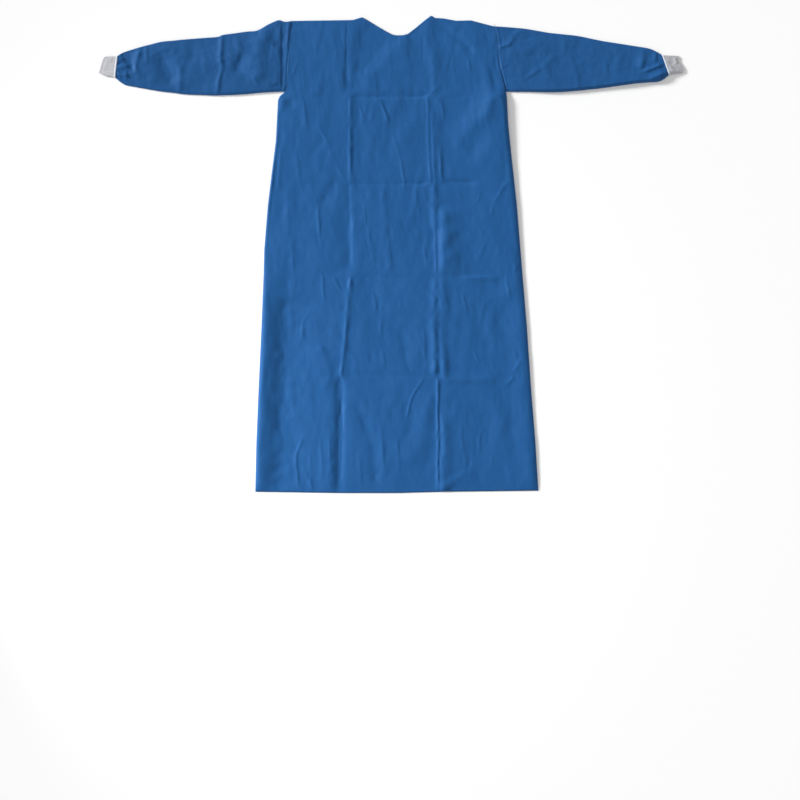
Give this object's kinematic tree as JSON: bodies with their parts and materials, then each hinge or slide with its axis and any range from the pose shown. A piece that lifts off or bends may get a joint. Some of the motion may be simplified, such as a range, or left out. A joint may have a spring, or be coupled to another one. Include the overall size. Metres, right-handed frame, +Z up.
{
  "type": "isolation gown",
  "caption": "Long-sleeved isolation gown of thin blue nonwoven cloth laid flat, front up, with rib-knit cuffs and knotted back waist ties.",
  "frame": {"origin": "on the surface that the gown lies on, under the middle of its whole span from cuff to cuff and of its length", "axes": "+X towards the wearer's left cuff, +Y from the hem towards the neck, +Z up from the surface, out of the gown's front"},
  "size_m": [1.4686, 1.2002, 0.0077],
  "materials": {
    "gown_cloth": "thin matt blue nonwoven with a fine bonded grain and a faint sheen on its creases",
    "rib_knit": "soft pale grey-white rib knit",
    "tie_cloth": "folded and stitched strap of the same blue nonwoven"
  },
  "bodies": {
    "root": {"front_panel": "gown_cloth", "back_panel_left": "gown_cloth", "back_panel_right": "gown_cloth", "sleeve_left": "gown_cloth", "sleeve_right": "gown_cloth", "cuff_left": "rib_knit", "cuff_right": "rib_knit", "tie_left_strap": "tie_cloth", "tie_right_strap": "tie_cloth", "tie_knot": "tie_cloth", "tie_left_end": "tie_cloth", "tie_right_end": "tie_cloth"}
  },
  "joints": []
}
